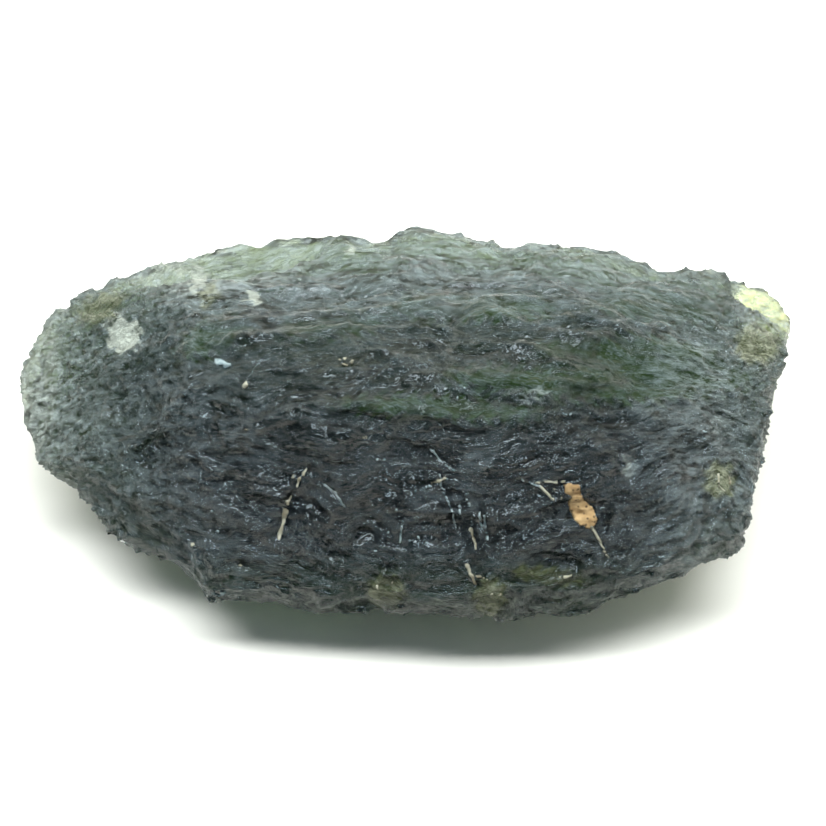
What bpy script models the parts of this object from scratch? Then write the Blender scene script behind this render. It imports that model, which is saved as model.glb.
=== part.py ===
"""Raw moldavite: one piece of natural green glass, tapering to the left and broken off at the right.

The body is a lopsided lens. Its thin rim follows a hand-drawn outline, a break cuts off the right end,
ledges thin the rim where flakes came away, and furrows and pits etched by the soil cover all of it.

Metres, +Z up. +X runs along the stone to the broken end and -Y is its front. The origin lies on the
surface under the stone, at the middle of its bounding box. Lengths below are in millimetres.
"""

import bisect
import math

import bmesh
import bpy
from mathutils import Matrix, Vector, noise

MM = 0.001

# The lens: heights over the surface that the stone lies on. It is steeper at the front than at the back.
RIM_HEIGHT = 5.0
CREST_HEIGHT = 12.3
KEEL_DEPTH = -0.5
FLAT_HEIGHT = 0.0
FLAT_REACH = 0.04
CREST_SPOT = Vector((1.2, -2.9))
KEEL_SPOT = Vector((1.8, -0.8))
CREST_SHARPNESS = 1.45
CREST_LENGTHENING = 0.75
KEEL_SHARPNESS = 2.2

# The rim rises, dips and thickens on its way round: direction in degrees, height, thickness. Where its outer
# edge dips it also moves back by a share of the dip.
RIM_COURSE = [
    (-180, 4.1, 0.7), (-140, 3.3, 1.1), (-105, 3.8, 2.0), (-60, 4.1, 2.2), (-20, 5.2, 1.4),
    (25, 5.6, 0.8), (70, 4.8, 1.0), (110, 5.3, 0.8), (150, 5.5, 0.7), (180, 4.1, 0.7),
]  # fmt: skip
RIM_LEAN = 0.7

# The rim in plan, clockwise from the left tip. Straight stretches are chips and the corners between them.
BACK_RIM = [
    (-17.8, 1.7), (-17.6, 3.6), (-17.1, 4.9), (-16.9, 6.0), (-15.7, 6.7), (-15.3, 7.7), (-13.4, 8.5),
    (-12.0, 9.1), (-11.4, 9.7), (-9.6, 9.6), (-9.1, 10.1), (-7.8, 10.5), (-6.7, 10.1), (-6.1, 10.7),
    (-3.5, 10.9), (-2.7, 11.3), (-2.2, 10.9), (-0.4, 10.7), (0.0, 11.4), (1.8, 11.5), (3.1, 11.3),
    (4.2, 10.7), (4.8, 11.0), (5.2, 10.3), (6.3, 10.7), (8.7, 10.6), (10.2, 10.2), (11.9, 9.4),
    (12.4, 9.0), (15.5, 9.0),
]  # fmt: skip
BROKEN_END = [(17.1, 8.0), (18.3, 7.3), (20.2, 4.0), (20.6, 0.0), (19.4, -4.0), (17.6, -6.8)]
FRONT_RIM = [
    (15.4, -7.9), (14.5, -8.1), (12.9, -9.0), (11.2, -9.9), (8.2, -11.1), (4.9, -11.3), (0.7, -11.2),
    (-1.4, -10.8), (-3.2, -11.1), (-5.4, -10.5), (-8.6, -10.5), (-10.5, -9.5), (-11.9, -8.4),
    (-13.2, -8.1), (-14.4, -6.8), (-15.5, -5.1), (-16.4, -3.7), (-16.9, -2.6), (-16.7, -1.8),
    (-17.2, -1.3), (-17.4, -0.3),
]  # fmt: skip
RIM = BACK_RIM + BROKEN_END + FRONT_RIM

# The break at the right end leans over a little, and a flake took its upper edge.
BREAK = (Vector((17.3, -1.7, 5.0)), Vector((0.977, -0.175, -0.125)))
BREAK_FLAKE = (Vector((15.6, 2.5, 9.0)), Vector((0.62, 0.22, 0.75)))

# Ledges, where flakes left the rim as a thin plate: middle, half length, half width, turn in degrees,
# height of the plate's upper side and its thickness.
LEDGES = [
    (Vector((-7.9, 9.7)), 5.4, 2.9, 20.0, 5.7, 0.8),
    (Vector((-18.0, 2.3)), 5.0, 1.5, 82.0, 5.3, 0.7),
    (Vector((17.6, 7.0)), 2.1, 1.8, -40.0, 5.9, 0.5),
]

# Hollows pressed into the upper side: middle, half length, half width, turn in degrees, depth.
HOLLOWS = [
    (Vector((-11.3, -3.4)), 1.6, 0.7, 5.0, 0.45),
    (Vector((-6.8, -5.0)), 1.5, 0.6, -14.0, 0.4),
    (Vector((-3.4, -6.6)), 3.2, 0.5, 36.0, 0.35),
    (Vector((3.0, -8.4)), 2.4, 0.8, -62.0, 0.45),
    (Vector((7.2, -8.9)), 1.3, 0.9, 10.0, 0.6),
    (Vector((8.2, -7.3)), 1.3, 0.9, -50.0, 0.35),
    (Vector((14.2, -4.6)), 1.8, 1.3, 20.0, 0.4),
    (Vector((11.3, 0.0)), 4.6, 1.1, 1.0, 0.35),
    (Vector((-1.5, 5.2)), 3.6, 1.0, -3.0, 0.35),
]

# Furrows and pits all over: how far apart they are, how deep, and how much longer than wide.
FURROW_SPACING = 1.9
FURROW_DEPTH = 0.48
FURROW_STRETCH = 4.0
PIT_SPACING = 2.4
PIT_DEPTH = 0.34
LUMP_SPACING = 7.0
LUMP_HEIGHT = 0.45
RIM_CALM = 0.3

SPHERE_SEGMENTS = 320
SPHERE_RINGS = 160
VOXEL = 0.2
CUTTER = 60.0
FACETS = 9400

GLASS_COLOUR = (0.035, 0.06, 0.03, 1.0)
GLASS_ROUGHNESS = 0.22
GLASS_IOR = 1.49


def smoothstep(value):
    value = min(1.0, max(0.0, value))
    return value * value * (3 - 2 * value)


def rim_course(x, y):
    """Height and thickness of the rim at a corner, easing from one named direction to the next."""
    turn = math.degrees(math.atan2(y, x))
    for (a0, h0, t0), (a1, h1, t1) in zip(RIM_COURSE, RIM_COURSE[1:]):
        if turn <= a1:
            share = smoothstep((turn - a0) / (a1 - a0))
            return h0 + (h1 - h0) * share, t0 + (t1 - t0) * share
    return RIM_COURSE[-1][1:]


def rim_table(centre):
    """The rim as seen from a point inside it: the corners' directions in rising order, and for each corner
    a four-number vector of its place and the rim's thickness."""
    corners = []
    for x, y in RIM:
        height, thickness = rim_course(x, y)
        outer = height + thickness / 2 * max(-1.0, min(1.0, y / 3))
        corners.append(Vector((x, y - RIM_LEAN * (outer - RIM_HEIGHT), height, thickness)))
    corners.sort(key=lambda c: math.atan2(c.y - centre.y, c.x - centre.x))
    return [math.atan2(c.y - centre.y, c.x - centre.x) for c in corners], corners


def rim_towards(centre, table, angle):
    """The rim in a direction, on the straight line between two corners."""
    angles, corners = table
    after = bisect.bisect(angles, angle) % len(angles)
    first, second = corners[after - 1], corners[after]
    along = (second - first).xy
    ray = Vector((math.cos(angle), math.sin(angle)))
    step = ray.cross(centre - first.xy) / ray.cross(along)
    return first.lerp(second, step)


CREST_TABLE = rim_table(CREST_SPOT)
KEEL_TABLE = rim_table(KEEL_SPOT)


def rim_share(point):
    """0 over the crest and 1 on the rim."""
    out = point.xy - CREST_SPOT
    if out.length < 1e-6:
        return 0.0
    rim = rim_towards(CREST_SPOT, CREST_TABLE, math.atan2(out.y, out.x))
    return out.length / (rim.xy - CREST_SPOT).length


def add_lens():
    """A sphere whose equator is laid on the rim and whose halves become the upper and lower sides."""
    bpy.ops.mesh.primitive_uv_sphere_add(segments=SPHERE_SEGMENTS, ring_count=SPHERE_RINGS, radius=1)
    stone = bpy.context.object
    stone.name = "moldavite"
    stone.data.name = "moldavite"
    for vertex in stone.data.vertices:
        point = vertex.co
        share = math.sqrt(max(0.0, 1 - abs(point.z)))
        angle = math.atan2(point.y, point.x)
        if point.z >= -1e-6:
            centre, table, top = CREST_SPOT, CREST_TABLE, CREST_HEIGHT
            power = CREST_SHARPNESS + CREST_LENGTHENING * math.cos(angle) ** 2
            side = 0.5
        else:
            centre, table, top = KEEL_SPOT, KEEL_TABLE, KEEL_DEPTH
            power = KEEL_SHARPNESS
            side = -0.5
        rim = rim_towards(centre, table, angle)
        x, y = centre.lerp(rim.xy, share)
        edge = rim.z + side * rim.w
        vertex.co = (x, y, edge + (top - edge) * (1 - share**power))
    return stone


def cut(stone, point, normal):
    """Takes off all that lies beyond a plane."""
    bpy.ops.mesh.primitive_cube_add(size=2 * CUTTER)
    cutter = bpy.context.object
    upright = Vector((0, 0, 1)).rotation_difference(normal).to_matrix().to_4x4()
    cutter.data.transform(Matrix.Translation(point) @ upright @ Matrix.Translation((0, 0, CUTTER)))
    cutter.hide_render = True
    cutter.display_type = "WIRE"
    modifier = stone.modifiers.new("Cut", "BOOLEAN")
    modifier.operation = "DIFFERENCE"
    modifier.solver = "EXACT"
    modifier.object = cutter
    bpy.context.view_layer.objects.active = stone
    bpy.ops.object.modifier_apply(modifier=modifier.name)
    bpy.data.objects.remove(cutter)


def in_oval(point, middle, length, width, turn):
    """0 in the middle of a turned oval, 1 on its edge and more outside it."""
    local = Matrix.Rotation(-math.radians(turn), 2) @ (Vector(point.xy) - middle)
    return math.hypot(local.x / length, local.y / width)


def ledge_shift(point, normal):
    """How far the surface moves up or down to the nearest ledge's plate, and how far inside a ledge it is."""
    ragged = 0.16 * noise.noise(point * 0.9)
    shift = most = 0.0
    for middle, length, width, turn, height, thickness in LEDGES:
        outside = in_oval(point, middle, length, width, turn)
        if normal.z > 0:
            inside = smoothstep((1.06 - outside + ragged) / 0.16)
            shift += min(0.0, height - point.z) * inside
        else:
            inside = smoothstep((1.2 - outside) / 0.5)
            shift += max(0.0, height - thickness - point.z) * inside
        most = max(most, inside)
    return shift, most


def hollow_depth(point):
    return sum(
        depth * smoothstep(1 - in_oval(point, middle, length, width, turn))
        for middle, length, width, turn, depth in HOLLOWS
    )


def furrow_depth(point):
    """Long furrows along X, with sharp ridges between them, bent a little by slower noise."""
    bend = noise.noise(point * 0.16 + Vector((7.0, 0, 0))) * 1.6
    place = Vector((point.x / FURROW_STRETCH, point.y + bend, point.z + bend)) / FURROW_SPACING
    ridge = 1 - min(1.0, abs(noise.noise(place)) * 2.2)
    return FURROW_DEPTH * (1 - ridge**2)


def pit_depth(point):
    """Bowls that nearly touch, a bit longer than wide."""
    place = Vector((point.x * 0.6, point.y, point.z)) / PIT_SPACING + Vector((3.1, 9.7, 1.3))
    nearest = noise.voronoi(place)[0][0]
    return PIT_DEPTH * (1 - smoothstep(nearest / 0.62))


def lump_height(point):
    return LUMP_HEIGHT * noise.noise(point / LUMP_SPACING + Vector((0, 4.0, 11.0)))


def carve(stone):
    """Lumps, ledges, hollows, furrows and pits, all of them fainter towards the thin rim and on its plates."""
    normals = [vertex.normal.copy() for vertex in stone.data.vertices]
    for vertex, normal in zip(stone.data.vertices, normals):
        point = vertex.co
        shift, plate = ledge_shift(point, normal)
        depth = furrow_depth(point) + pit_depth(point) - lump_height(point)
        depth += hollow_depth(point) * smoothstep(normal.z * 2.5)
        thick = RIM_CALM + (1 - RIM_CALM) * smoothstep((1 - rim_share(point)) * 4)
        vertex.co = point - normal * depth * thick * (1 - 0.7 * plate) + Vector((0, 0, shift))


def flatten_base(stone, reach):
    """Brings every point below the resting plane, or within reach above it, onto the plane."""
    for vertex in stone.data.vertices:
        if vertex.co.z < FLAT_HEIGHT + reach:
            vertex.co.z = FLAT_HEIGHT


def remesh(stone, size):
    stone.data.remesh_voxel_size = size
    bpy.context.view_layer.objects.active = stone
    bpy.ops.object.voxel_remesh()


def drop_crumbs(stone):
    """Keeps the largest connected surface, without the specks that carving may leave at the thin rim."""
    body = bmesh.new()
    body.from_mesh(stone.data)
    left = set(body.verts)
    pieces = []
    while left:
        piece = [left.pop()]
        for vertex in piece:
            near = {edge.other_vert(vertex) for edge in vertex.link_edges} & left
            left -= near
            piece.extend(near)
        pieces.append(piece)
    pieces.sort(key=len)
    bmesh.ops.delete(body, geom=[v for piece in pieces[:-1] for v in piece], context="VERTS")
    body.to_mesh(stone.data)
    body.free()


def thin_out(stone, facets):
    """Fewer triangles, kept where the surface bends most."""
    modifier = stone.modifiers.new("Facets", "DECIMATE")
    stone.data.calc_loop_triangles()
    modifier.ratio = facets / len(stone.data.loop_triangles)
    modifier.use_collapse_triangulate = True
    bpy.ops.object.modifier_apply(modifier=modifier.name)


def to_row_frame(stone):
    """Puts the origin under the middle of the stone and turns millimetres into metres."""
    corners = [vertex.co for vertex in stone.data.vertices]
    low = Vector(min(c[axis] for c in corners) for axis in range(3))
    high = Vector(max(c[axis] for c in corners) for axis in range(3))
    middle = (low + high) / 2
    stone.data.transform(Matrix.Translation((-middle.x, -middle.y, -low.z)))
    stone.data.transform(Matrix.Scale(MM, 4))


def glass():
    material = bpy.data.materials.new("glass")
    material.use_nodes = True
    shader = material.node_tree.nodes["Principled BSDF"]
    shader.inputs["Base Color"].default_value = GLASS_COLOUR
    shader.inputs["Roughness"].default_value = GLASS_ROUGHNESS
    shader.inputs["Metallic"].default_value = 0.0
    shader.inputs["IOR"].default_value = GLASS_IOR
    return material


def build():
    for item in list(bpy.data.objects):
        bpy.data.objects.remove(item)
    stone = add_lens()
    cut(stone, *BREAK)
    cut(stone, *BREAK_FLAKE)
    remesh(stone, VOXEL)
    carve(stone)
    flatten_base(stone, 0)
    remesh(stone, VOXEL)
    drop_crumbs(stone)
    thin_out(stone, FACETS)
    flatten_base(stone, FLAT_REACH)
    to_row_frame(stone)
    stone.data.materials.append(glass())


build()
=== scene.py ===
import math

import bpy
import numpy as np
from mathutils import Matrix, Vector, noise
from mathutils.bvhtree import BVHTree


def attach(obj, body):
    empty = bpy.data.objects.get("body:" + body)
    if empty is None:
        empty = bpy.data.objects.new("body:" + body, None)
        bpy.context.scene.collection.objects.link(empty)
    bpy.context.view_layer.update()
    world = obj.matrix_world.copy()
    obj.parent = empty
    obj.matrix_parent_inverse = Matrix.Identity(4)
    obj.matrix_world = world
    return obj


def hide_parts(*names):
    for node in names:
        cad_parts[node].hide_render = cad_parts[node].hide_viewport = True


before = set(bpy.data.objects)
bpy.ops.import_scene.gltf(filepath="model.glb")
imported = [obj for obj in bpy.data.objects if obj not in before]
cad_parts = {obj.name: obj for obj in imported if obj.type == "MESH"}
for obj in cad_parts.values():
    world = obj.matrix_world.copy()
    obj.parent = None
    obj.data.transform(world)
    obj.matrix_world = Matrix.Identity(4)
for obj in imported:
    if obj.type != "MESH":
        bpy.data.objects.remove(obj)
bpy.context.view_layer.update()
MM = 0.001


# ---- The camera ------------------------------------------------------------------------------------------
# A long lens looks down on the stone from its front. Places on the skin are given as seen from there: so
# many millimetres to the right of the stone's middle, and so many up the view.

ELEVATION = math.radians(55)
DISTANCE = 0.40
FRAME_WIDTH = 0.0388
MIDDLE = Vector((0.0, -0.60, 5.0)) * MM
AIM_RIGHT = 0.376 * MM
AIM_UP = 0.564 * MM
SENSOR_WIDTH = 36

view_right = Vector((1, 0, 0))
view_up = Vector((0, math.sin(ELEVATION), math.cos(ELEVATION)))
view_back = Vector((0, -math.cos(ELEVATION), math.sin(ELEVATION)))

camera_data = bpy.data.cameras.new("camera")
camera = bpy.data.objects.new("camera", camera_data)
bpy.context.scene.collection.objects.link(camera)
camera.location = MIDDLE + view_right * AIM_RIGHT + view_up * AIM_UP + view_back * DISTANCE
camera.rotation_euler = (math.pi / 2 - ELEVATION, 0, 0)
camera_data.sensor_width = SENSOR_WIDTH
camera_data.lens = SENSOR_WIDTH * DISTANCE / FRAME_WIDTH
camera_data.clip_start = 0.01
camera_data.clip_end = 20
bpy.context.scene.camera = camera


# ---- The stone -------------------------------------------------------------------------------------------
# One lump of natural green glass. Soil etched its whole skin into furrows that run along the stone, pits
# at the tapering end and grooves along old cracks. It lies loose on its underside.

STONE_GRAIN = 0.12
STONE_TRIANGLES = 192000

# The marks that etching left: how wide one is, how deep, and how many times as long as wide. Scoops are
# long hollows, rills and scratches are furrows between sharp crests, and cross marks run askew of them.
SCOOP_WIDTH = 1.05
SCOOP_DEPTH = 0.15
SCOOP_STRETCH = 3.4
RILL_WIDTH = 0.50
RILL_DEPTH = 0.13
RILL_STRETCH = 2.8
CROSS_WIDTH = 0.60
CROSS_DEPTH = 0.14
CROSS_STRETCH = 3.0
SCRATCH_WIDTH = 0.30
SCRATCH_DEPTH = 0.07
SCRATCH_STRETCH = 2.2
PIT_WIDTH = 0.55
PIT_DEPTH = 0.10
PIT_STRETCH = 1.3
STEP_WIDTH = 1.5
STEP_DEPTH = 0.12
STEP_DROP = 6
FRILL_WIDTH = 1.0
FRILL_DEPTH = 0.18
SCOOP_EDGE = 0.55
BED_STEEPNESS = 2.6

# How much the marks fade on plates and smooth beds, and the height over which they fade in at the foot.
PLATE_CALM = 0.25
BED_CALM = 0.40
FOOT_HEIGHT = 0.8

# The skin swells before it is etched: by how much, from where up the view, and over how much of it that
# grows. It is cut back along the rim in one oval at the front left.
SWELL = (0.22, -9.0, 8.0)
SHAVED = ((-13.6, -6.8), 5.0, 2.6, -50.0)
SHAVING = 0.9

# Rounds of smoothing that melt the plain body's corners: so many everywhere, and more inside the rim.
RIM_MELTING = 10
MELTING = 30

# The rim seen from above is nearly an oval of this half length and half width. The melting ends at one
# share of the way out to it, and the frill starts at another.
RIM_LENGTH = 18.0
RIM_WIDTH = 10.4
MELT_END = 0.97
MELT_BLEND = 0.12
FRILL_START = 0.86
FRILL_BLEND = 0.1

# Furrows run along the stone and close up towards its ends. The room for them is this half depth, less the
# curve times the square of the distance from the middle, up to the reach. They wave by the bend and dip.
HALF_DEPTH = 11.0
RIM_CURVE = 0.022
FLOW_REACH = 14.5
FLOW_BEND = 1.5
FLOW_DIP = 0.7

# Furrows give way to pits past these distances from the middle, over these lengths: left end, right end.
# Pits keep this share of their length.
PITTED_LEFT = (7.0, 6.0)
PITTED_RIGHT = (12.0, 4.0)
PIT_ROUNDNESS = 0.8

# Places on the skin are ovals: middle, half length, half width, turn in degrees. Each has faded out at
# this many times its size, over this much of it.
OVAL_REACH = 1.3
OVAL_BLEND = 0.5

# Thin plates at the rim: cloudy at the back, clear at the left end and yellow at the right.
CLOUDY_PLATES = [((-6.9, 7.5), 4.6, 1.0, 14.0)]
CLEAR_PLATES = [((-17.2, 1.9), 3.6, 0.9, 85.0)]
YELLOW_PLATES = [((17.0, 5.5), 1.5, 1.3, 0.0)]

# Beds that came out smoother than the rest of the skin.
SMOOTH_BEDS = [
    ((10.5, 3.3), 4.5, 0.9, -3.0),
    ((8.0, 1.9), 6.0, 0.7, -4.0),
    ((1.5, 0.8), 5.0, 0.5, -3.0),
    ((-3.5, 4.7), 2.6, 0.6, 5.0),
    ((-9.0, 4.2), 2.0, 0.8, 20.0),
    ((3.0, 5.6), 4.0, 0.7, 0.0),
    ((12.0, 5.6), 3.5, 0.8, -5.0),
    ((13.3, 2.2), 3.0, 0.8, 0.0),
]

# Olive patches: two spots at the left, and at the broken right end and the foot of the front a painted
# glow, where light seems to shine through thin olive glass.
STAINS_AND_GLOWS = [
    ((16.6, 3.8), 1.0, 0.9, 0.0),
    ((14.8, -2.6), 0.7, 0.8, 0.0),
    ((4.0, -8.1), 0.8, 0.9, 0.0),
    ((6.8, -7.1), 1.8, 0.4, -8.0),
    ((-0.9, -7.8), 0.9, 0.7, 0.0),
    ((-14.3, 5.5), 1.1, 0.6, 30.0),
    ((-9.2, 6.1), 0.6, 0.4, 60.0),
]

# Frosted spots, each with how white it is.
FROST = [
    ((-13.2, 4.2), 0.8, 0.7, 30.0, 1.0),
    ((-13.7, 4.9), 0.5, 0.35, 60.0, 0.5),
    ((-14.3, 5.5), 1.0, 0.5, 30.0, 0.22),
    ((-9.2, 6.1), 0.5, 0.35, 60.0, 0.3),
    ((-9.7, 6.8), 0.6, 0.38, 80.0, 0.8),
    ((-10.8, 7.4), 1.6, 0.3, -12.0, 0.6),
    ((-7.1, 6.0), 0.4, 0.3, 0.0, 0.7),
    ((-2.5, 8.2), 0.25, 0.25, 0.0, 0.8),
    ((10.5, -1.9), 0.6, 0.3, 80.0, 0.35),
    ((6.0, 1.4), 0.7, 0.3, 0.0, 0.35),
    ((16.4, 3.4), 0.9, 1.3, 20.0, 0.30),
    ((14.8, -2.6), 0.7, 0.8, 0.0, 0.25),
    ((15.1, 0.2), 0.8, 0.5, 40.0, 0.3),
    ((12.6, -0.9), 1.6, 0.5, 20.0, 0.16),
    ((11.6, 0.8), 0.8, 0.4, 0.0, 0.16),
    ((4.0, -8.1), 0.5, 0.7, 0.0, 0.20),
    ((-0.9, -7.8), 0.8, 0.6, 0.0, 0.14),
    ((3.4, -1.6), 1.2, 0.5, 40.0, 0.10),
    ((-8.0, -0.7), 1.2, 0.4, 20.0, 0.10),
]

# Old cracks, opened by etching: a path over the skin, half width, depth.
CRACKS = [
    ([(-5.9, -5.2), (-5.4, -3.8), (-5.0, -2.6), (-4.4, -1.8)], 0.22, 0.16),
    ([(-4.4, -1.8), (-3.3, -1.2), (-2.1, -0.6), (-0.9, -0.3)], 0.18, 0.14),
    ([(-3.8, -2.8), (-2.8, -3.9)], 0.16, 0.12),
    ([(0.2, -3.2), (1.2, -2.8), (2.2, -2.5)], 0.15, 0.12),
    ([(1.6, -2.1), (1.7, -2.8), (2.2, -4.0), (2.3, -4.7)], 0.18, 0.15),
    ([(0.4, -0.5), (1.3, -1.2), (1.8, -1.8), (2.3, -2.1)], 0.15, 0.12),
    ([(2.3, -2.3), (3.0, -1.8)], 0.15, 0.1),
    ([(2.6, -3.4), (3.1, -4.9), (3.4, -6.0)], 0.2, 0.18),
    ([(3.2, -3.3), (3.8, -4.6), (4.1, -6.0)], 0.2, 0.16),
    ([(1.7, -4.8), (2.0, -6.3), (2.8, -7.3)], 0.2, 0.15),
    ([(6.3, -2.7), (7.5, -2.8)], 0.15, 0.12),
    ([(8.6, -4.6), (9.6, -6.3)], 0.18, 0.14),
    ([(6.5, -6.3), (8.0, -6.6)], 0.45, 0.3),
]


def smoothstep(value):
    value = min(1.0, max(0.0, value))
    return value * value * (3 - 2 * value)


def smoothsteps(values):
    values = np.clip(values, 0.0, 1.0)
    return values * values * (3 - 2 * values)


def growing(values, full, start, length):
    """0 up to the start, and rising from there to its full strength over the length."""
    return full * smoothsteps((values - start) / length)


def select_only(piece):
    bpy.ops.object.select_all(action="DESELECT")
    piece.select_set(True)
    bpy.context.view_layer.objects.active = piece


def copy_of_node(name, new_name):
    """A copy of a CAD solid with its loose triangles joined."""
    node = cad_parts[name]
    piece = bpy.data.objects.new(new_name, node.data.copy())
    bpy.context.scene.collection.objects.link(piece)
    piece.data.materials.clear()
    select_only(piece)
    bpy.ops.object.mode_set(mode="EDIT")
    bpy.ops.mesh.select_all(action="SELECT")
    bpy.ops.mesh.remove_doubles(threshold=1e-6)
    bpy.ops.mesh.normals_make_consistent(inside=False)
    bpy.ops.object.mode_set(mode="OBJECT")
    return piece


def pitted(x):
    """1 at the two ends, where pits take the place of furrows, and 0 in between."""
    start, length = PITTED_LEFT if x < 0 else PITTED_RIGHT
    return smoothstep((abs(x) - start) / length)


def drawn_out(x, stretch):
    """Distance along the stone, shortened so that even marks come out `stretch` times as long as wide.

    At the two ends they come out round. The shortening changes bit by bit, so no seam shows.
    """
    start, length = PITTED_LEFT if x < 0 else PITTED_RIGHT
    past = max(0.0, (abs(x) - start) / length)
    eased = past ** 3 - past ** 4 / 2 if past < 1 else past - 0.5
    return math.copysign(abs(x) / stretch + (PIT_ROUNDNESS - 1 / stretch) * length * eased, x)


def along_the_flow(point):
    """Coordinates in which the furrows run straight: they follow the outline of the stone."""
    reach = min(abs(point.x), FLOW_REACH)
    half = HALF_DEPTH - RIM_CURVE * reach * reach
    across = point.y * HALF_DEPTH / half
    bend = noise.noise(Vector((point.x * 0.12, point.y * 0.18, 5.0)))
    bend += 0.3 * noise.noise(Vector((point.x * 0.5, point.y * 0.6, 9.0)))
    return Vector((point.x, across + FLOW_BEND * bend, point.z + FLOW_DIP * bend))


def ridged(flow, width, stretch):
    """0 on sharp crests and 1 in the rounded beds between them."""
    place = Vector((drawn_out(flow.x, stretch), flow.y, flow.z)) / width
    bed = min(1.0, abs(noise.noise(place)) * BED_STEEPNESS)
    return 2 * bed - bed * bed


def scooped(flow, width, stretch):
    """Long hollows that meet in sharp edges: 1 in the middle of each and 0 on the edges."""
    place = Vector((drawn_out(flow.x, stretch), flow.y, flow.z)) / width
    nearest, second = noise.voronoi(place)[0][:2]
    return smoothstep((second - nearest) / SCOOP_EDGE)


def crossed(point):
    """Short furrows that run askew of the others, in patches on the front slope."""
    askew = Vector((point.x * 0.5 + point.y * 0.75, point.y * 0.5 - point.x * 0.75, point.z))
    patch = smoothstep(0.5 + 2.0 * noise.noise(point * 0.3 + Vector((7.0, 0, 0))))
    front = smoothstep((1.0 - point.y) / 3.0)
    return patch * front * ridged(askew, CROSS_WIDTH, CROSS_STRETCH)


def stepped(flow):
    """Shingle-like steps: 0 at the foot of each drop, rising evenly to 1 at the next."""
    place = flow.y / STEP_WIDTH + 1.3 * noise.noise(Vector((flow.x * 0.16, flow.y * 0.3, flow.z * 0.3)))
    share = place - math.floor(place)
    return min(share, (1 - share) * STEP_DROP)


def seen_places(mesh):
    """Each point's place in the view, in millimetres, and how much it faces the viewer."""
    count = len(mesh.vertices)
    places = np.empty(count * 3)
    facing = np.empty(count * 3)
    mesh.vertices.foreach_get("co", places)
    mesh.vertex_normals.foreach_get("vector", facing)
    offset = places.reshape(-1, 3) - np.array(camera.location)
    nearness = DISTANCE / -(offset @ np.array(view_back))
    across = (offset @ np.array(view_right) * nearness + AIM_RIGHT) / MM
    up = (offset @ np.array(view_up) * nearness + AIM_UP) / MM
    return across, up, facing.reshape(-1, 3) @ np.array(view_back)


def in_oval(across, up, middle, length, width, turn):
    """0 in the middle of a turned oval, 1 on its edge and more outside it."""
    turn = math.radians(turn)
    dx, dy = across - middle[0], up - middle[1]
    along = dx * math.cos(turn) + dy * math.sin(turn)
    aside = dy * math.cos(turn) - dx * math.sin(turn)
    return np.hypot(along / length, aside / width)


def in_ovals(across, up, ovals):
    """1 inside the ovals and 0 outside, with soft edges."""
    share = np.zeros(len(across))
    for oval in ovals:
        inside = smoothsteps((OVAL_REACH - in_oval(across, up, *oval)) / OVAL_BLEND)
        share = np.maximum(share, inside)
    return share


def ragged(across, up, amount):
    """The same places moved a little to and fro, so that outlines drawn through them come out ragged."""
    moved_across = across + amount * np.sin(9 * up + 3 * np.sin(5 * across))
    return moved_across, up + amount * np.sin(8 * across + 2 * np.sin(6 * up))


def from_path(across, up, path):
    """Distance to a line of straight stretches."""
    nearest = np.full(len(across), 1e9)
    for (x0, y0), (x1, y1) in zip(path, path[1:]):
        dx, dy = x1 - x0, y1 - y0
        share = np.clip(((across - x0) * dx + (up - y0) * dy) / (dx * dx + dy * dy), 0, 1)
        nearest = np.minimum(nearest, np.hypot(across - x0 - share * dx, up - y0 - share * dy))
    return nearest


stone = copy_of_node("moldavite", "moldavite_skin")
stone.data.remesh_voxel_size = STONE_GRAIN * MM
bpy.ops.object.voxel_remesh()
inner = stone.vertex_groups.new(name="inner")
for vertex in stone.data.vertices:
    reach = math.hypot(vertex.co.x / RIM_LENGTH, vertex.co.y / RIM_WIDTH) / MM
    inner.add([vertex.index], smoothstep((MELT_END - reach) / MELT_BLEND), "REPLACE")
for group, iterations in (("", RIM_MELTING), ("inner", MELTING)):
    soften = stone.modifiers.new("Soften", "SMOOTH")
    soften.factor = 0.5
    soften.iterations = iterations
    soften.vertex_group = group
    bpy.ops.object.modifier_apply(modifier=soften.name)

across, up, facing = seen_places(stone.data)
calm = 1 - PLATE_CALM * in_ovals(across, up, CLOUDY_PLATES + CLEAR_PLATES + YELLOW_PLATES)
calm -= BED_CALM * in_ovals(across, up, SMOOTH_BEDS)
swell = growing(up, *SWELL)
shaved = SHAVING * in_ovals(across, up, [SHAVED])
cracked = np.zeros(len(across))
for path, half_width, depth in CRACKS:
    profile = smoothsteps(1 - from_path(across, up, path) / half_width)
    cracked = np.maximum(cracked, depth * profile * (facing > 0))

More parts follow.
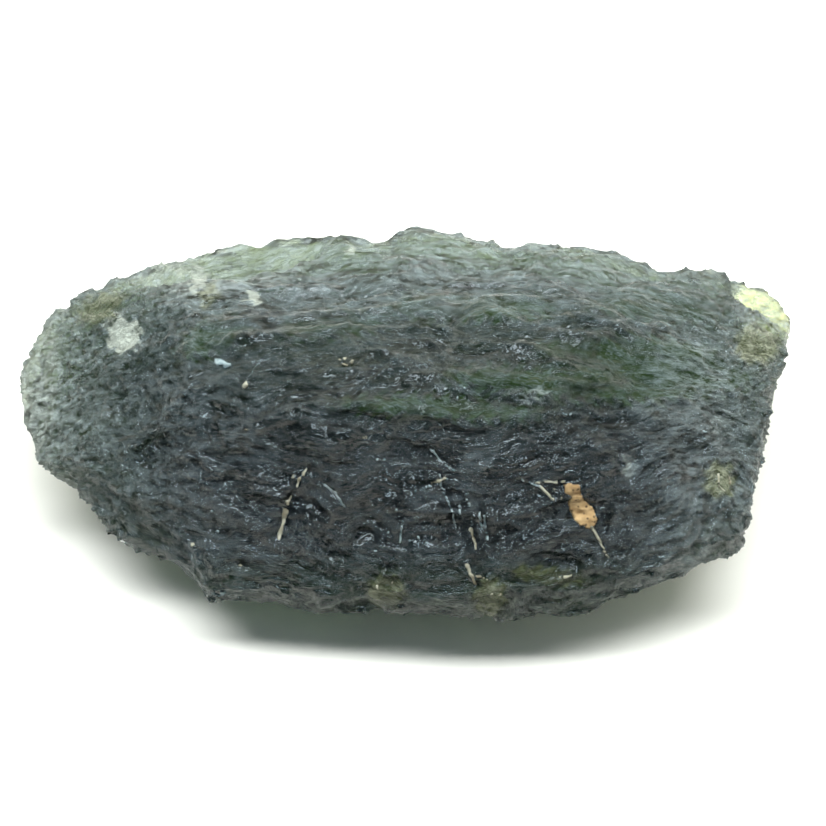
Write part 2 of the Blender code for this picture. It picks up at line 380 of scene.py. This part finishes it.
# Two of the fields that the material reads: places along the flow, and how near a crest each point is.
BUMP_STRETCH = 3.0
flows = np.empty((len(stone.data.vertices), 3))
crests = np.empty(len(stone.data.vertices))
normals = [vertex.normal.copy() for vertex in stone.data.vertices]
measures = zip(stone.data.vertices, normals, calm, swell, shaved, cracked)
for vertex, normal, rough, rise, shave, crack in measures:
    point = vertex.co / MM
    flow = along_the_flow(point)
    pits = pitted(point.x)
    broken = smoothstep(0.4 + 2.2 * noise.noise(point * 0.45))
    scoops = scooped(flow, SCOOP_WIDTH, SCOOP_STRETCH)
    rills = ridged(flow + Vector((0, 3.0, 1.0)), RILL_WIDTH, RILL_STRETCH)
    scratches = ridged(flow + Vector((0, 31.0, 7.0)), SCRATCH_WIDTH, SCRATCH_STRETCH)
    cross = crossed(point)
    dimples = scooped(point + Vector((0, 5.0, 0)), PIT_WIDTH, PIT_STRETCH)
    depth = SCOOP_DEPTH * scoops + RILL_DEPTH * rills + SCRATCH_DEPTH * scratches
    depth += CROSS_DEPTH * cross + STEP_DEPTH * stepped(flow) * (1 - pits) * broken
    depth += PIT_DEPTH * pits * dimples
    base = smoothstep(point.z / FOOT_HEIGHT)
    flows[vertex.index] = (drawn_out(flow.x, BUMP_STRETCH), flow.y, flow.z)
    # The crest field is where the material paints its highlight lines.
    crests[vertex.index] = max((1 - rills) ** 6, 0.7 * (1 - scratches) ** 6, 0.8 * (1 - scoops) ** 8)
    outward = Vector((point.x / RIM_LENGTH ** 2, point.y / RIM_WIDTH ** 2, 0)).normalized()
    reach = math.hypot(point.x / RIM_LENGTH, point.y / RIM_WIDTH)
    edge = smoothstep((reach - FRILL_START) / FRILL_BLEND)
    frill = FRILL_DEPTH * edge * (noise.fractal(point / FRILL_WIDTH, 1.0, 2.0, 2) - 0.2) + shave * edge
    sunk = (depth * rough - rise) * base + crack
    vertex.co = (point - normal * sunk - outward * frill) * MM
flow_field = stone.data.attributes.new("flow", "FLOAT_VECTOR", "POINT")
flow_field.data.foreach_set("vector", flows.astype(np.float32).ravel())
crest_field = stone.data.attributes.new("crest", "FLOAT", "POINT")
crest_field.data.foreach_set("value", crests.astype(np.float32))

thin = stone.modifiers.new("Thin out", "DECIMATE")
stone.data.calc_loop_triangles()
thin.ratio = min(1.0, STONE_TRIANGLES / len(stone.data.loop_triangles))
bpy.ops.object.modifier_apply(modifier=thin.name)
bpy.ops.object.shade_smooth()

# The other fields, each 0 to 1 over the skin. Thin glass is hazy, and the haze also paints a glow: the
# glass is whitened towards the top of the view and at the left end, as if back light shone through it.
# Frost makes it white, more so towards the left and right ends, and leafy is how much of the green of
# the thick glass shows. Each part: how strong, from where, and over how much it grows.
UPPER_HAZE_AND_GLOW = (1.0, 3.4, 4.8)
LEFT_HAZE_AND_GLOW = (0.8, 12.0, 5.0)
# The glass is whitened more towards the left and right ends.
LEFT_WHITENING = (0.10, 5.0, 6.0)
RIGHT_WHITENING = (0.21, 10.0, 4.0)
UPPER_GREEN = (0.28, -2.0, 7.0)
FOOT_GREEN = (0.35, 5.5, 2.5)
LEFT_GREEN = (0.5, 10.0, 6.0)
BED_GREEN = 0.85
BED_RAGGED = 0.3
SPOT_RAGGED = 0.14
across, up = seen_places(stone.data)[:2]
cloudy = in_ovals(across, up, CLOUDY_PLATES)
clear = in_ovals(across, up, CLEAR_PLATES)
plates = in_ovals(across, up, CLOUDY_PLATES + CLEAR_PLATES + YELLOW_PLATES)
haze_and_glow = np.maximum(growing(up, *UPPER_HAZE_AND_GLOW), plates)
haze_and_glow = np.maximum(haze_and_glow, growing(-across, *LEFT_HAZE_AND_GLOW))
# Painted glow: a quarter of the haze is mixed in as white, so the upper glass and the left end come out
# lighter, as if lit through from behind.
frost_and_glow = 0.25 * haze_and_glow + 0.05 * cloudy + 0.12 * clear + growing(-across, *LEFT_WHITENING)
frost_and_glow += growing(across, *RIGHT_WHITENING) * smoothsteps(5.5 - up)
smooth = in_ovals(*ragged(across, up, BED_RAGGED), SMOOTH_BEDS)
ragged_across, ragged_up = ragged(across, up, SPOT_RAGGED)
# Painted glow: at the right end and the foot these olive patches stand in for light through thin glass.
stain_and_glow = in_ovals(ragged_across, ragged_up, STAINS_AND_GLOWS)
leafy = np.maximum(growing(up, *UPPER_GREEN), BED_GREEN * np.maximum(smooth, stain_and_glow))
leafy = np.maximum(leafy, growing(-up, *FOOT_GREEN))
leafy = np.maximum(leafy, growing(-across, *LEFT_GREEN) * (1 - 0.7 * plates))
yellow = in_ovals(across, up, YELLOW_PLATES)
leafy = leafy * (1 - yellow) * (1 - 0.6 * haze_and_glow)
for *oval, white in FROST:
    frost_and_glow = np.maximum(frost_and_glow, white * in_ovals(ragged_across, ragged_up, [oval]))
fields = {
    "cloudy": cloudy,
    "yellow": yellow,
    "smooth": smooth,
    "leafy": leafy,
    "stain_and_glow": stain_and_glow,
    "haze_and_glow": haze_and_glow,
    "frost_and_glow": frost_and_glow,
}
for name, values in fields.items():
    field = stone.data.attributes.new(name, "FLOAT", "POINT")
    field.data.foreach_set("value", values.astype(np.float32))
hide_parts("moldavite")
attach(stone, "root")

# The glass itself, then the green of its depth, the olive of the stains and of a painted glow through
# thin glass, the white of the frost, and the colour of the painted highlight streaks.
GLASS_TINT = (0.86, 0.88, 0.84, 1.0)
CLOUDY_TINT = (0.34, 0.39, 0.28, 1.0)
YELLOW_TINT = (1.0, 0.99, 0.60, 1.0)
LEAF_COLOUR = (0.013, 0.025, 0.007, 1.0)
OLIVE_COLOUR = (0.045, 0.052, 0.022, 1.0)
STAIN_AND_GLOW_COLOUR = (0.46, 0.47, 0.34, 1.0)
FROST_COLOUR = (0.46, 0.48, 0.41, 1.0)
# Colour of weak frost specks, and of the painted highlight streaks on the crests.
STREAK_COLOUR = (0.33, 0.41, 0.44, 1.0)
ABSORPTION_COLOUR = (0.44, 0.54, 0.35, 1.0)
ABSORPTION = 1200.0
GLASS_IOR = 1.49
GLASS_ROUGHNESS = 0.02
LEAF_ROUGHNESS = 0.14
LEAF_SHEEN = 0.2
FROST_ROUGHNESS = 0.8
BUMP_HEIGHT = 0.10

# The noises that break up the looks, by how many grains there are to a millimetre across the flow, and
# how sharply lines are drawn out of two of them.
CLOUD_SCALE = 0.7
SPECKLE_SCALE = 2.6
RILL_SCALE = 4.6
THREAD_SCALE = 2.0
FINE_SHARPNESS = 24.0
LONG_SHARPNESS = 30.0


class Value:
    """A number socket of a shader that can be written in sums."""

    def __init__(self, recipe, socket):
        self.recipe = recipe
        self.socket = socket

    def math(self, operation, *others):
        numbers = [self] + list(others)
        node = self.recipe.node("ShaderNodeMath", {"operation": operation}, dict(enumerate(numbers)))
        return Value(self.recipe, node.outputs[0])

    def __add__(self, other):
        return self.math("ADD", other)

    def __sub__(self, other):
        return self.math("SUBTRACT", other)

    def __rsub__(self, other):
        return (self * -1.0).math("ADD", other)

    def __mul__(self, other):
        return self.math("MULTIPLY", other)

    __radd__ = __add__
    __rmul__ = __mul__


class Recipe:
    """A material and the one way its nodes are made."""

    def __init__(self, name):
        self.material = bpy.data.materials.new(name)
        self.material.use_nodes = True
        self.tree = self.material.node_tree
        self.shader = self.tree.nodes["Principled BSDF"]
        self.output = self.tree.nodes["Material Output"]

    def plug(self, socket, value):
        if isinstance(value, Value):
            value = value.socket
        if isinstance(value, bpy.types.NodeSocket):
            self.tree.links.new(value, socket)
        else:
            socket.default_value = value

    def node(self, kind, settings=None, inputs=None):
        """A node of a kind: its settings first, then the values or links of its sockets."""
        node = self.tree.nodes.new(kind)
        for key, value in (settings or {}).items():
            setattr(node, key, value)
        for key, value in (inputs or {}).items():
            self.plug(node.inputs[key], value)
        return node

    def value(self, kind, settings=None, inputs=None, output=0):
        return Value(self, self.node(kind, settings, inputs).outputs[output])

    def mix(self, share, first, second):
        """A colour between two others."""
        node = self.node("ShaderNodeMix", {"data_type": "RGBA"}, {0: share, 6: first, 7: second})
        return node.outputs[2]

    def surface(self, **inputs):
        for key, value in inputs.items():
            self.plug(self.shader.inputs[key.replace("_", " ")], value)


glass = Recipe("moldavite glass")
flow_socket = glass.node("ShaderNodeAttribute", {"attribute_name": "flow"}).outputs["Vector"]
cloudy, yellow, smooth, leafy, stain_and_glow, haze_and_glow, frost_and_glow, crest = (
    glass.value("ShaderNodeAttribute", {"attribute_name": name}, output=2)
    for name in ("cloudy", "yellow", "smooth", "leafy", "stain_and_glow", "haze_and_glow", "frost_and_glow", "crest")
)
clouds, speckle, rills, threads = (
    glass.value(
        "ShaderNodeTexNoise",
        {},
        {"Vector": flow_socket, "Scale": scale, "Detail": detail, "Roughness": roughness},
    )
    for scale, detail, roughness in (
        (CLOUD_SCALE, 3.0, 0.6),
        (SPECKLE_SCALE, 4.0, 0.75),
        (RILL_SCALE, 1.5, 0.6),
        (THREAD_SCALE, 3.0, 0.65),
    )
)
# Painted highlights: thin bright lines lie on the crests and along the two sharp noises, where the
# speckle lets them. They stand in for glints on the ridges.
fine = (1 - (rills - 0.5).math("ABSOLUTE") * FINE_SHARPNESS).math("MAXIMUM", 0.0)
long = (1 - (threads - 0.5).math("ABSOLUTE") * LONG_SHARPNESS).math("MAXIMUM", 0.0)
edges = (fine + long + crest * 0.8) * (speckle * 3.0 - 0.9).math("MAXIMUM", 0.0)
patches = (clouds * 5.0 - 1.9).math("MAXIMUM", 0.25).math("MINIMUM", 1.0)
relief = (rills * 0.8 + edges * 0.5) * patches + clouds * 0.5
relief = relief * (1 - haze_and_glow * 0.45) * (1 - smooth * 0.55)
skin = glass.node(
    "ShaderNodeBump", {}, {"Height": relief, "Strength": 1.0, "Distance": BUMP_HEIGHT * MM}
)
clouded = glass.mix(cloudy * (clouds * 1.6) + haze_and_glow * 0.2, GLASS_TINT, CLOUDY_TINT)
tint = glass.mix(yellow, clouded, YELLOW_TINT)
warmth = (frost_and_glow * 1.6).math("MINIMUM", 1.0)
frost_glint_and_glow_shades = glass.mix(stain_and_glow, glass.mix(warmth, STREAK_COLOUR, FROST_COLOUR), STAIN_AND_GLOW_COLOUR)
glass.surface(
    Base_Color=tint,
    Roughness=clouds * 0.20 + GLASS_ROUGHNESS + haze_and_glow * 0.22,
    IOR=GLASS_IOR,
    Transmission_Weight=1.0,
    Normal=skin.outputs[0],
)

# The green that shows out of thick glass is a dark surface, mixed in where the skin is leafy.
# Lighter olive where the patches paint light shining through thin glass.
leaf_shades = glass.mix(stain_and_glow, LEAF_COLOUR, OLIVE_COLOUR)
leaf = glass.node(
    "ShaderNodeBsdfPrincipled",
    {},
    {
        "Base Color": leaf_shades,
        "Roughness": LEAF_ROUGHNESS,
        "IOR": GLASS_IOR,
        "Specular IOR Level": LEAF_SHEEN,
        "Normal": skin.outputs[0],
    },
)
body = glass.node(
    "ShaderNodeMixShader",
    {},
    {0: leafy * (clouds * 4.0 - 1.0), 1: glass.shader.outputs[0], 2: leaf.outputs[0]},
)

# Frost is a rough white surface. Where it is weak it comes in specks and streaks, and where it is strong
# it covers the glass. The same surface also carries the painted highlight lines on the crests.
grain = ((frost_and_glow - 0.45) * 4.0).math("MAXIMUM", 0.0).math("MINIMUM", 1.0)
whitened = frost_and_glow * (speckle * (6.0 - grain * 3.5) - 2.4 + grain * 1.9)
# Painted highlights: the lines on the crests are mixed in as light streaks of the rough white surface.
whitened = whitened + edges * (clouds * 0.34 - 0.06) * (1 - cloudy * 0.6)
frost_and_glint_coat = glass.node(
    "ShaderNodeBsdfPrincipled",
    {},
    {"Base Color": frost_glint_and_glow_shades, "Roughness": FROST_ROUGHNESS, "Normal": skin.outputs[0]},
)
mixed = glass.node(
    "ShaderNodeMixShader",
    {},
    {0: whitened, 1: body.outputs[0], 2: frost_and_glint_coat.outputs[0]},
)
glass.plug(glass.output.inputs["Surface"], mixed.outputs[0])
depths = glass.node(
    "ShaderNodeVolumeAbsorption", {}, {"Color": ABSORPTION_COLOUR, "Density": ABSORPTION}
)
glass.plug(glass.output.inputs["Volume"], depths.outputs[0])
stone.data.materials.append(glass.material)


# ---- The clay patch --------------------------------------------------------------------------------------
# Orange-tan clay that stayed in a hollow at the front right. It is a thin dry crust with pinholes, and it
# sits on the glass.

# Every crust is a grid laid on the skin: its mesh size, how far it reaches down, the longest stretch
# between two of its points before it tears, and how ragged its outline is. The painted crack glints are
# laid the same way.
CRUST_GRAIN = 0.055
CRUST_DEPTH = 0.12
CRUST_STRETCH = 0.35
CRUST_RAGGED = 0.02

stone_skin = BVHTree.FromPolygons(
    [vertex.co for vertex in stone.data.vertices], [tuple(face.vertices) for face in stone.data.polygons]
)


def skin_at(across, up):
    """The point of the stone's skin that is seen at a place of the view."""
    aimed = MIDDLE + view_right * (across * MM) + view_up * (up * MM)
    return stone_skin.ray_cast(camera.location, aimed - camera.location)[0]


def crust(name, box, thickness):
    """A crust in a box of the view: left, low, right, high. It lies wherever its thickness is above 0."""
    left, low, right, high = box
    columns = int((right - left) / CRUST_GRAIN)
    rows = int((high - low) / CRUST_GRAIN)
    bpy.ops.object.select_all(action="DESELECT")
    bpy.ops.mesh.primitive_grid_add(x_subdivisions=columns, y_subdivisions=rows, size=2)
    piece = bpy.context.object
    piece.name = name
    places = np.empty(len(piece.data.vertices) * 3)
    piece.data.vertices.foreach_get("co", places)
    places = places.reshape(-1, 3)
    across = left + (places[:, 0] + 1) / 2 * (right - left)
    up = low + (places[:, 1] + 1) / 2 * (high - low)
    thick = thickness(*ragged(across, up, CRUST_RAGGED))
    bare = set()
    for vertex, x, y, height in zip(piece.data.vertices, across, up, thick):
        spot = skin_at(x, y) if height > 0 else None
        if spot is None:
            bare.add(vertex.index)
        else:
            vertex.co = spot + view_back * (height * MM)
    for vertex in piece.data.vertices:
        vertex.select = vertex.index in bare
    for edge in piece.data.edges:
        first, second = (piece.data.vertices[index] for index in edge.vertices)
        kept = not bare & {first.index, second.index}
        torn = kept and (first.co - second.co).length > CRUST_STRETCH * MM
        first.select = first.select or torn
    for part in list(piece.data.edges) + list(piece.data.polygons):
        part.select = False
    bpy.ops.object.mode_set(mode="EDIT")
    bpy.ops.mesh.select_mode(type="VERT")
    bpy.ops.mesh.delete(type="VERT")
    bpy.ops.mesh.select_all(action="SELECT")
    bpy.ops.mesh.delete_loose(use_verts=True, use_edges=True, use_faces=False)
    bpy.ops.object.mode_set(mode="OBJECT")
    body = piece.modifiers.new("Body", "SOLIDIFY")
    body.thickness = CRUST_DEPTH * MM
    body.offset = -1
    bpy.ops.object.modifier_apply(modifier=body.name)
    bpy.ops.object.shade_smooth()
    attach(piece, "root")
    return piece


CLAY_OUTLINE = [
    (7.4, -2.8), (7.8, -2.7), (8.2, -2.8), (8.4, -3.5), (8.8, -3.8), (9.1, -4.4), (8.9, -4.75), (8.5, -4.9),
    (8.0, -4.6), (7.7, -4.0), (7.6, -3.7), (7.8, -3.4), (7.5, -3.2),
]
CLAY_BOX = (7.0, -5.2, 9.5, -2.4)
CLAY_THICKNESS = 0.10
CLAY_EDGE = 0.12
DARK_CLAY = (0.29, 0.175, 0.075, 1.0)
PALE_CLAY = (0.52, 0.35, 0.17, 1.0)
PINHOLE_COLOUR = (0.10, 0.06, 0.03, 1.0)


def clay_thickness(across, up):
    corners = CLAY_OUTLINE + CLAY_OUTLINE[:1]
    inside = np.zeros(len(across), dtype=bool)
    for (x0, y0), (x1, y1) in zip(corners, corners[1:]):
        if y0 == y1:
            continue
        crosses = (up < y0) != (up < y1)
        inside ^= crosses & (across < x0 + (up - y0) * (x1 - x0) / (y1 - y0))
    edge = from_path(across, up, corners)
    bumps = 0.02 * np.sin(7 * across + 2 * np.sin(6 * up)) * np.sin(8 * up)
    return np.where(inside, (CLAY_THICKNESS + bumps) * np.clip(edge / CLAY_EDGE, 0.02, 1), -1.0)


clay_patch = crust("clay_patch", CLAY_BOX, clay_thickness)
clay = Recipe("orange tan clay")
earth = clay.node("ShaderNodeTexCoord").outputs["Object"]
blotches = clay.value("ShaderNodeTexNoise", {}, {"Vector": earth, "Scale": 1500.0, "Detail": 3.0})
holes = clay.value("ShaderNodeTexVoronoi", {}, {"Vector": earth, "Scale": 4200.0, "Randomness": 1.0})
clay_shades = clay.mix((blotches - 0.35) * 3.0, DARK_CLAY, PALE_CLAY)
pinholed = clay.mix(1 - (holes - 0.2) * 8.0, clay_shades, PINHOLE_COLOUR)
clay.surface(Base_Color=pinholed, Roughness=0.9)
clay_patch.data.materials.append(clay.material)


# ---- The cream clay --------------------------------------------------------------------------------------
# Pale clay packed in old cracks that etching had opened, with a few crumbs of it in pits. It fills most
# of a crack's width and is thickest along the middle.


def filled(across, up, fills, thick):
    """Thickness along cracks, of clay in them and of painted glints on their walls: each has a path, a half
    width at its start and one at its end.

    It is below 0 where there is none.
    """
    total = np.full(len(across), -1.0)
    for path, start, end in fills:
        (x0, y0), (x1, y1) = path[0], path[-1]
        dx, dy = x1 - x0, y1 - y0
        along = ((across - x0) * dx + (up - y0) * dy) / (dx ** 2 + dy ** 2)
        width = start + (end - start) * np.clip(along, 0, 1)
        total = np.maximum(total, thick * (1 - (from_path(across, up, path) / width) ** 2))
    return total


def dotted(across, up, dots, thick):
    """Thickness of crumbs and of painted glint flecks: each has a middle, a half length, a half width
    and a turn.
    """
    total = np.full(len(across), -1.0)
    for dot in dots:
        total = np.maximum(total, thick * (1 - in_oval(across, up, *dot) ** 2))
    return total


CREAM_FILLS = [
    ([(-5.95, -5.3), (-5.75, -4.7), (-5.6, -4.0)], 0.11, 0.13),
    ([(-5.5, -3.7), (-5.35, -3.3)], 0.10, 0.05),
    ([(-5.1, -2.9), (-4.95, -2.5)], 0.06, 0.10),
    ([(-4.8, -2.35), (-4.55, -1.9)], 0.09, 0.05),
    ([(-5.3, -2.5), (-5.15, -2.2)], 0.05, 0.05),
    ([(-2.3, -0.72), (-1.8, -0.56)], 0.04, 0.05),
    ([(8.75, -4.75), (9.6, -6.3)], 0.12, 0.04),
    ([(6.2, -2.7), (7.5, -2.7)], 0.05, 0.06),
    ([(6.4, -2.9), (6.95, -3.5)], 0.10, 0.08),
    ([(7.0, -2.95), (7.35, -3.4)], 0.05, 0.05),
    ([(3.1, -4.9), (3.35, -5.8)], 0.11, 0.07),
    ([(2.9, -6.6), (3.3, -7.45)], 0.13, 0.08),
    ([(3.3, -7.1), (4.0, -7.3)], 0.06, 0.05),
    ([(1.0, -2.85), (1.9, -2.5)], 0.03, 0.08),
    ([(14.75, -2.3), (14.7, -2.8), (15.05, -3.1)], 0.05, 0.05),
    ([(15.3, -2.8), (15.2, -2.35)], 0.05, 0.05),
]
CREAM_CRUMBS = [
    ((-7.5, 1.9), 0.21, 0.16, 70.0),
    ((-7.5, -0.2), 0.16, 0.06, -25.0),
    ((-2.95, 3.12), 0.24, 0.07, 10.0),
    ((-2.85, 2.86), 0.24, 0.07, -15.0),
    ((-2.48, 2.95), 0.12, 0.11, 60.0),
    ((-10.0, -5.6), 0.15, 0.12, 30.0),
    ((1.65, -2.62), 0.14, 0.10, 20.0),
    ((-1.3, -7.6), 0.16, 0.10, 80.0),
    ((-0.6, -7.4), 0.12, 0.08, 80.0),
    ((-7.7, -6.6), 0.12, 0.09, 0.0),
    ((4.1, -8.1), 0.28, 0.07, 85.0),
    ((4.5, -8.0), 0.24, 0.06, 80.0),
    ((7.6, -7.1), 0.5, 0.05, 8.0),
]
CREAM_BOX = (-10.4, -8.0, 15.6, 3.4)
CREAM_THICKNESS = 0.07
DARK_CREAM = (0.20, 0.17, 0.11, 1.0)
PALE_CREAM = (0.40, 0.38, 0.29, 1.0)


def cream_thickness(across, up):
    fills = filled(across, up, CREAM_FILLS, CREAM_THICKNESS)
    return np.maximum(fills, dotted(across, up, CREAM_CRUMBS, CREAM_THICKNESS * 2))


cream_clay = crust("cream_clay", CREAM_BOX, cream_thickness)
cream = Recipe("cream clay")
earth = cream.node("ShaderNodeTexCoord").outputs["Object"]
blotches = cream.value("ShaderNodeTexNoise", {}, {"Vector": earth, "Scale": 1100.0, "Detail": 3.0})
cream_shades = cream.mix((blotches - 0.4) * 5.0, DARK_CREAM, PALE_CREAM)
cream.surface(Base_Color=cream_shades, Roughness=0.85)
cream_clay.data.materials.append(cream.material)


# ---- The painted crack glints ----------------------------------------------------------------------------
# Painted highlights: pale bluish glints along the walls of hair cracks, about as wide as a hair, and
# in small flecks. Much of it lies in the net of cracks at the middle of the front.

GLINT_LINES = [
    ([(0.4, -0.5), (1.3, -1.2), (1.8, -1.8), (2.3, -2.15)], 0.03, 0.06),
    ([(0.2, -3.2), (1.2, -2.85)], 0.03, 0.06),
    ([(1.9, -2.55), (2.3, -2.4)], 0.06, 0.04),
    ([(1.6, -2.0), (1.7, -2.8), (2.2, -4.0), (2.35, -4.7)], 0.04, 0.07),
    ([(2.3, -2.3), (3.0, -1.8)], 0.04, 0.03),
    ([(2.4, -3.3), (2.7, -4.5)], 0.03, 0.04),
    ([(2.8, -3.1), (3.1, -4.1)], 0.04, 0.04),
    ([(3.4, -3.5), (3.6, -4.9)], 0.03, 0.06),
    ([(3.7, -4.2), (3.9, -5.4)], 0.04, 0.06),
    ([(5.0, -2.35), (5.7, -2.7), (6.4, -2.9)], 0.03, 0.06),
    ([(-3.8, -2.8), (-3.3, -3.2), (-2.8, -3.9)], 0.07, 0.06),
    ([(-0.4, -4.0), (-0.8, -5.1)], 0.04, 0.04),
    ([(-0.1, -4.5), (-0.25, -5.5)], 0.04, 0.06),
    ([(-6.25, -2.3), (-6.7, -3.4)], 0.04, 0.03),
    ([(7.3, 0.9), (7.45, 0.5), (7.8, 0.45), (8.0, 0.8)], 0.04, 0.04),
    ([(8.1, 0.7), (8.5, 0.45), (9.0, 0.75)], 0.04, 0.03),
    ([(13.5, -0.2), (14.5, -0.35)], 0.03, 0.03),
    ([(14.0, 0.3), (14.1, -0.8)], 0.03, 0.03),
    ([(13.7, 0.2), (14.4, -0.7)], 0.03, 0.03),
    ([(9.0, -3.4), (9.9, -4.6)], 0.03, 0.03),
    ([(8.3, -4.9), (8.7, -5.6)], 0.04, 0.03),
]
GLINT_FLECKS = [
    ((16.7, -1.8), 0.15, 0.13, 0.0),
    ((-8.7, -7.9), 0.37, 0.15, 8.0),
    ((-8.7, 2.95), 0.32, 0.2, -15.0),
    ((-8.35, 2.8), 0.25, 0.14, 30.0),
    ((2.8, 1.75), 0.13, 0.06, 90.0),
    ((3.12, 1.62), 0.09, 0.05, 90.0),
    ((2.45, 1.3), 0.15, 0.05, 85.0),
    ((0.65, -5.3), 0.14, 0.08, -20.0),
    ((1.0, -5.55), 0.12, 0.08, 10.0),
    ((-8.8, -5.0), 0.14, 0.1, 0.0),
    ((-8.2, -3.75), 0.13, 0.08, 20.0),
    ((-9.1, -4.05), 0.1, 0.08, 0.0),
    ((-1.3, -1.6), 0.11, 0.06, 60.0),
    ((-0.95, -1.62), 0.11, 0.06, 60.0),
]
GLINT_BOX = (-10.0, -8.4, 17.2, 3.4)
GLINT_THICKNESS = 0.06
DARK_GLINT = (0.09, 0.13, 0.14, 1.0)
PALE_GLINT = (0.34, 0.40, 0.40, 1.0)


def glint_thickness(across, up):
    fills = filled(across, up, GLINT_LINES, GLINT_THICKNESS)
    return np.maximum(fills, dotted(across, up, GLINT_FLECKS, GLINT_THICKNESS * 1.6))


# Painted highlights: a thin sheet on the skin carries the glints along the cracks.
painted_glints = crust("painted_glints", GLINT_BOX, glint_thickness)
glint_paint = Recipe("painted crack glints")
scale = glint_paint.node("ShaderNodeTexCoord").outputs["Object"]
patchy = glint_paint.value("ShaderNodeTexNoise", {}, {"Vector": scale, "Scale": 1800.0, "Detail": 2.0})
glint_shades = glint_paint.mix((patchy - 0.4) * 5.0, DARK_GLINT, PALE_GLINT)
glint_paint.surface(Base_Color=glint_shades, Roughness=0.8)
painted_glints.data.materials.append(glint_paint.material)


# ---- The floor and the light -----------------------------------------------------------------------------
# A white sheet under the stone, in a pale tent that is brighter behind it and on the right. A lamp hangs
# over both. Two strips, which show only in reflections, give the ridges their glints.

FLOOR_SIZE = 4.0
SHEET_COLOUR = (0.97, 0.91, 0.82, 1.0)

bpy.ops.object.select_all(action="DESELECT")
bpy.ops.mesh.primitive_plane_add(size=FLOOR_SIZE)
floor = bpy.context.object
floor.name = "floor"
sheet = Recipe("white sheet")
sheet.surface(Base_Color=SHEET_COLOUR, Roughness=0.8)
floor.data.materials.append(sheet.material)

DARK_SIDE = (0.08, 0.12, 0.15, 1.0)
BRIGHT_SIDE = (1.64, 1.69, 1.54, 1.0)

# Which way the bright side lies, and how much of a direction has to point there to be dark or bright.
BRIGHT_WAY = (0.35, 0.75, -0.65)
DARK_FROM = -0.6
BRIGHT_FROM = 0.5

world = bpy.data.worlds.new("light tent")
bpy.context.scene.world = world
world.use_nodes = True
tent = world.node_tree
direction = tent.nodes.new("ShaderNodeTexCoord")
facing_light = tent.nodes.new("ShaderNodeVectorMath")
facing_light.operation = "DOT_PRODUCT"
facing_light.inputs[1].default_value = BRIGHT_WAY
side = tent.nodes.new("ShaderNodeMapRange")
side.inputs["From Min"].default_value = DARK_FROM
side.inputs["From Max"].default_value = BRIGHT_FROM
shade = tent.nodes.new("ShaderNodeMix")
shade.data_type = "RGBA"
shade.inputs[6].default_value = DARK_SIDE
shade.inputs[7].default_value = BRIGHT_SIDE
tent.links.new(direction.outputs["Generated"], facing_light.inputs[0])
tent.links.new(facing_light.outputs["Value"], side.inputs["Value"])
tent.links.new(side.outputs[0], shade.inputs["Factor"])
tent.links.new(shade.outputs[2], tent.nodes["Background"].inputs["Color"])

# Each lamp: name, width and length, power, colour and place. All of them point at the stone.
LAMPS = [
    ("lamp", (0.95, 0.17), 8.0, (0.88, 0.96, 1.0), (0.0, 0.06, 0.55)),
    ("top_strip", (0.70, 0.10), 2.4, (0.78, 0.92, 1.0), (-0.05, 0.05, 0.60)),
    ("front_strip", (0.50, 0.06), 1.4, (0.70, 0.88, 1.0), (0.05, -0.50, 0.42)),
]

for name, (width, length), power, colour, place in LAMPS:
    light = bpy.data.lights.new(name, "AREA")
    light.shape = "RECTANGLE"
    light.size = width
    light.size_y = length
    light.energy = power
    light.color = colour
    lamp = bpy.data.objects.new(name, light)
    lamp.location = place
    lamp.rotation_euler = (-Vector(place)).to_track_quat("-Z", "Y").to_euler()
    lamp.visible_glossy = name != "lamp"
    lamp.visible_diffuse = name == "lamp"
    bpy.context.scene.collection.objects.link(lamp)

bpy.context.scene.view_settings.view_transform = "Standard"
